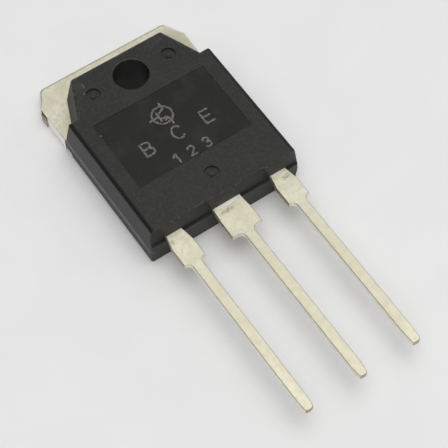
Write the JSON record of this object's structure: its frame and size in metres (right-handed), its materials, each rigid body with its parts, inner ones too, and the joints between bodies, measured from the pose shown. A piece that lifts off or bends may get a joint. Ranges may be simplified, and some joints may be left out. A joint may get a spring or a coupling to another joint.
{
  "type": "bipolar power transistor",
  "caption": "Flat black moulded power transistor with a screw hole, a bare metal heat tab and a row of flat tinned leads.",
  "frame": {"origin": "where the axis of the mounting hole meets the back face", "axes": "+Z out of the marked face, along the mounting hole; leads along -Y; +X to the emitter's side"},
  "size_m": [0.0158, 0.0408, 0.0048],
  "materials": {
    "epoxy_moulding": "dark grey epoxy moulding with fine matte grain and a smoother marking field",
    "tinned_frame": "matte tin plate on copper strip, bare copper where it was sheared",
    "tinned_lead": "matte tin plate on copper strip, bare copper where it was sheared",
    "solder": "soft solder, inside the body",
    "silicon": "polished silicon, inside the body",
    "bond_wire": "drawn aluminium wire, inside the body"
  },
  "bodies": {
    "root": {"moulded_body": "epoxy_moulding", "collector_frame": "tinned_frame", "base_lead": "tinned_lead", "emitter_lead": "tinned_lead", "chip_solder": "solder", "silicon_chip": "silicon", "base_wire": "bond_wire", "emitter_wire_1": "bond_wire", "emitter_wire_2": "bond_wire"}
  },
  "joints": []
}
